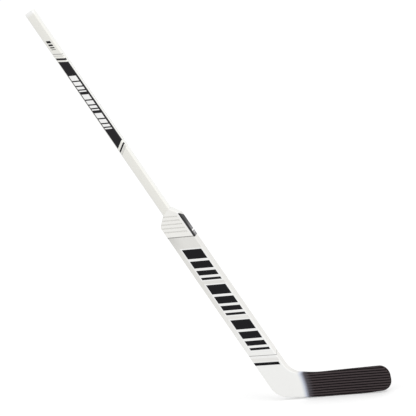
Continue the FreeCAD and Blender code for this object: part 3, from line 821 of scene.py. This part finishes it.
def bridge(shell, first, second):
    """Quads between two closed rings of equal length."""
    size = len(first)
    for i in range(size):
        j = (i + 1) % size
        shell.faces.new((first[i], first[j], second[j], second[i]))


def sleeve_rings(shell, sizes, inset):
    """Rings of points from the level cut up to the butt plug, set in from the sleeve's outside."""
    centre = sizes.shaft_edge + sizes.shaft_width / 2
    foot = JOINT_HEIGHT / math.sin(sizes.lie)
    foot_slope = math.cos(sizes.lie) / math.sin(sizes.lie)
    section = rounded_section(
        sizes.shaft_width / 2 - inset, sizes.shaft_thickness / 2 - inset, sizes.shaft_corner - inset
    )
    rings = []
    for i in range(SLEEVE_STATIONS + 1):
        ring = []
        for across, depth in section:
            low = foot + (centre + across) * foot_slope
            along = low + (sizes.sleeve_top - low) * i / SLEEVE_STATIONS
            ring.append(shell.verts.new(stick_point(sizes, centre + across, along, depth)))
        rings.append(ring)
    return rings


class GOALSTICK_OT_shaft_sleeve(bpy.types.Operator):
    """Build the shaft's sleeve with finely rounded corners and paint it"""

    bl_idname = "goalstick.shaft_sleeve"
    bl_label = "Shaft sleeve"

    def execute(self, context):
        scene = context.scene
        sizes = scene.goalstick_sizes
        shell = bmesh.new()
        outer = sleeve_rings(shell, sizes, 0.0)
        inner = sleeve_rings(shell, sizes, sizes.sleeve_wall)
        for rings in (outer, inner):
            for lower, upper in zip(rings, rings[1:]):
                bridge(shell, lower, upper)
        bridge(shell, outer[0], inner[0])
        bridge(shell, outer[-1], inner[-1])
        paint = shaft_paint(sizes, scene.goalstick_marks, scene.goalstick_colours)
        piece = new_piece("shaft_sleeve", shell, paint)
        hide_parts("shaft_wrap")
        return {"FINISHED"}


class GOALSTICK_OT_butt_plug(bpy.types.Operator):
    """Give the butt plug its moulded plastic"""

    bl_idname = "goalstick.butt_plug"
    bl_label = "Butt plug"

    def execute(self, context):
        scene = context.scene
        paint_nodes(cap_plastic(scene.goalstick_sizes, scene.goalstick_colours), "butt_plug")
        return {"FINISHED"}


class GOALSTICK_OT_paddle(bpy.types.Operator):
    """Paint the paddle's rails and face sheets"""

    bl_idname = "goalstick.paddle"
    bl_label = "Paddle"

    def execute(self, context):
        scene = context.scene
        paint = paddle_paint(scene.goalstick_sizes, scene.goalstick_marks, scene.goalstick_colours)
        paint_nodes(paint, "heel_side_rail", "toe_side_rail", "paddle_front_sheet", "paddle_back_sheet")
        return {"FINISHED"}


class GOALSTICK_OT_grips(bpy.types.Operator):
    """Finish the ribbed grip plates and the rubber finger grip"""

    bl_idname = "goalstick.grips"
    bl_label = "Grips"

    def execute(self, context):
        looks = (context.scene.goalstick_sizes, context.scene.goalstick_colours)
        paint_nodes(grip_plastic(*looks), "front_rib_grip", "back_rib_grip")
        paint_nodes(finger_rubber(*looks), "finger_grip")
        return {"FINISHED"}


class GOALSTICK_OT_blade(bpy.types.Operator):
    """Spray the heel and the blade, faces and edges"""

    bl_idname = "goalstick.blade"
    bl_label = "Heel and blade"

    def execute(self, context):
        scene = context.scene
        colours = scene.goalstick_colours
        looks = (scene.goalstick_sizes, scene.goalstick_marks, colours)
        heel = blade_paint("heel_paint", *looks, colours.heel_white)
        edge = blade_paint("neck_paint", *looks, colours.neck_white)
        face = blade_paint("blade_paint", *looks, colours.heel_white, grooved=True)
        paint_nodes(heel, "heel_front_skin", "heel_back_skin", "heel_sole_band", "blade_edge_band")
        paint_nodes(edge, "neck_band")
        paint_nodes(face, "blade_front_skin", "blade_back_skin")
        return {"FINISHED"}


class GOALSTICK_OT_core(bpy.types.Operator):
    """Finish the wood, foam and ribs inside the stick"""

    bl_idname = "goalstick.core"
    bl_label = "Core"

    def execute(self, context):
        colours = context.scene.goalstick_colours
        paint_nodes(bare_wood("aspen", colours.aspen, figure=0.35), "shaft_core_centre_ply", "heel_core")
        birch = bare_wood("birch", colours.birch, figure=0.5)
        paint_nodes(birch, "shaft_core_front_ply", "shaft_core_back_ply", "heel_spline")
        foams = ("blade_lower_foam", "blade_middle_foam", "blade_upper_foam")
        paint_nodes(rigid_foam(colours), "heel_side_foam", "toe_side_foam", *foams)
        paint_nodes(rib_carbon(colours), "blade_lower_rib", "blade_upper_rib")
        return {"FINISHED"}


def seen(graph):
    """Mask of the rays that show a surface, straight on or in gloss and glass."""
    path = graph.add("ShaderNodeLightPath").outputs
    return graph.any_of(path["Is Camera Ray"], path["Is Glossy Ray"], path["Is Transmission Ray"])


def floor_material():
    """White floor that takes the stick's shadow and shows as plain white elsewhere."""
    material = bpy.data.materials.new("studio_floor")
    material.use_nodes = True
    material.node_tree.nodes.clear()
    graph = Graph(material.node_tree)
    diffuse = graph.fill(graph.add("ShaderNodeBsdfDiffuse"), color=(FLOOR_GREY,) * 3)
    glow = graph.fill(graph.add("ShaderNodeEmission"), strength=graph.times(seen(graph), FLOOR_GLOW))
    both = graph.add("ShaderNodeAddShader")
    graph.feed(both.inputs[0], diffuse["BSDF"])
    graph.feed(both.inputs[1], glow["Emission"])
    graph.fill(graph.add("ShaderNodeOutputMaterial"), surface=both.outputs["Shader"])
    return material


def lay_floor(scene):
    """Round floor just under the sole."""
    shell = bmesh.new()
    bmesh.ops.create_circle(
        shell, cap_ends=True, segments=FLOOR_SIDES, radius=scene.goalstick_stage.floor_radius
    )
    mesh = bpy.data.meshes.new("studio_floor")
    shell.to_mesh(mesh)
    shell.free()
    mesh.materials.append(floor_material())
    floor = bpy.data.objects.new("studio_floor", mesh)
    floor.location = (0, 0, -FLOOR_DROP)
    scene.collection.objects.link(floor)


def light_surround(scene):
    """Even white surround: plain white where it is seen, dimmer where it lights the stick."""
    world = bpy.data.worlds.new("studio")
    world.use_nodes = True
    world.node_tree.nodes.clear()
    graph = Graph(world.node_tree)
    light = scene.goalstick_stage.surround
    strength = graph.calc("MULTIPLY_ADD", seen(graph), 1.0 - light, light)
    sky = graph.fill(graph.add("ShaderNodeBackground"), color=(1, 1, 1), strength=strength)
    graph.fill(graph.add("ShaderNodeOutputWorld"), surface=sky["Background"])
    scene.world = world


def hang_key(scene):
    """Soft sun from above on the toe side."""
    lamp = bpy.data.lights.new("key", "SUN")
    lamp.energy = scene.goalstick_stage.key
    lamp.angle = KEY_SPREAD
    key = bpy.data.objects.new("key", lamp)
    key.rotation_mode = "QUATERNION"
    key.rotation_quaternion = Vector(KEY_FROM).to_track_quat("Z", "Y")
    scene.collection.objects.link(key)


def place_camera(scene):
    """Camera that sees the heel corner at its place in the picture."""
    stage = scene.goalstick_stage
    back = Vector((
        math.sin(stage.azimuth) * math.cos(stage.elevation),
        -math.cos(stage.azimuth) * math.cos(stage.elevation),
        math.sin(stage.elevation),
    ))
    level = Vector((math.cos(stage.azimuth), math.sin(stage.azimuth), 0))
    upright = back.cross(level)
    right = level * math.cos(stage.roll) - upright * math.sin(stage.roll)
    up = level * math.sin(stage.roll) + upright * math.cos(stage.roll)
    heel = Vector((HEEL_CORNER_X, -scene.goalstick_sizes.paddle_thickness / 2, 0))
    aim = heel - right * stage.heel_right + up * stage.heel_below
    data = bpy.data.cameras.new("camera")
    data.sensor_width = SENSOR_WIDTH
    data.lens = SENSOR_WIDTH * stage.distance / stage.frame_width
    data.clip_start = NEAREST
    data.clip_end = FARTHEST
    camera = bpy.data.objects.new("camera", data)
    place = Matrix((right, up, back)).transposed().to_4x4()
    place.translation = aim + back * stage.distance
    camera.matrix_world = place
    scene.collection.objects.link(camera)
    scene.camera = camera


class GOALSTICK_OT_stage(bpy.types.Operator):
    """Set up the floor, the soft light and the camera"""

    bl_idname = "goalstick.stage"
    bl_label = "Stage"

    def execute(self, context):
        lay_floor(context.scene)
        light_surround(context.scene)
        hang_key(context.scene)
        place_camera(context.scene)
        context.scene.view_settings.view_transform = "Standard"
        return {"FINISHED"}


class GOALSTICK_PT_sidebar(bpy.types.Panel):
    """Steps that dress the stick, and the values they use"""

    bl_label = "Goal Stick"
    bl_idname = "GOALSTICK_PT_sidebar"
    bl_space_type = "VIEW_3D"
    bl_region_type = "UI"
    bl_category = "Goal Stick"

    def draw(self, context):
        for operator in OPERATORS:
            self.layout.operator(operator.bl_idname)
        for group in GROUPS:
            values = getattr(context.scene, "goalstick_" + group)
            column = self.layout.column(heading=group.capitalize())
            for name in values.__annotations__:
                column.prop(values, name)


OPERATORS = (
    GOALSTICK_OT_shaft_sleeve,
    GOALSTICK_OT_butt_plug,
    GOALSTICK_OT_paddle,
    GOALSTICK_OT_grips,
    GOALSTICK_OT_blade,
    GOALSTICK_OT_core,
    GOALSTICK_OT_stage,
)
GROUPS = {"sizes": StickSizes, "marks": StickMarks, "colours": StickColours, "stage": StickStage}


def register():
    for group in GROUPS.values():
        bpy.utils.register_class(group)
    for name, group in GROUPS.items():
        setattr(bpy.types.Scene, "goalstick_" + name, PointerProperty(type=group))
    for operator in OPERATORS:
        bpy.utils.register_class(operator)
    bpy.utils.register_class(GOALSTICK_PT_sidebar)


def unregister():
    bpy.utils.unregister_class(GOALSTICK_PT_sidebar)
    for operator in reversed(OPERATORS):
        bpy.utils.unregister_class(operator)
    for name, group in reversed(GROUPS.items()):
        delattr(bpy.types.Scene, "goalstick_" + name)
        bpy.utils.unregister_class(group)


def main():
    register()
    bpy.ops.goalstick.shaft_sleeve()
    bpy.ops.goalstick.butt_plug()
    bpy.ops.goalstick.paddle()
    bpy.ops.goalstick.grips()
    bpy.ops.goalstick.blade()
    bpy.ops.goalstick.core()
    bpy.ops.goalstick.stage()


if __name__ == "__main__":
    main()
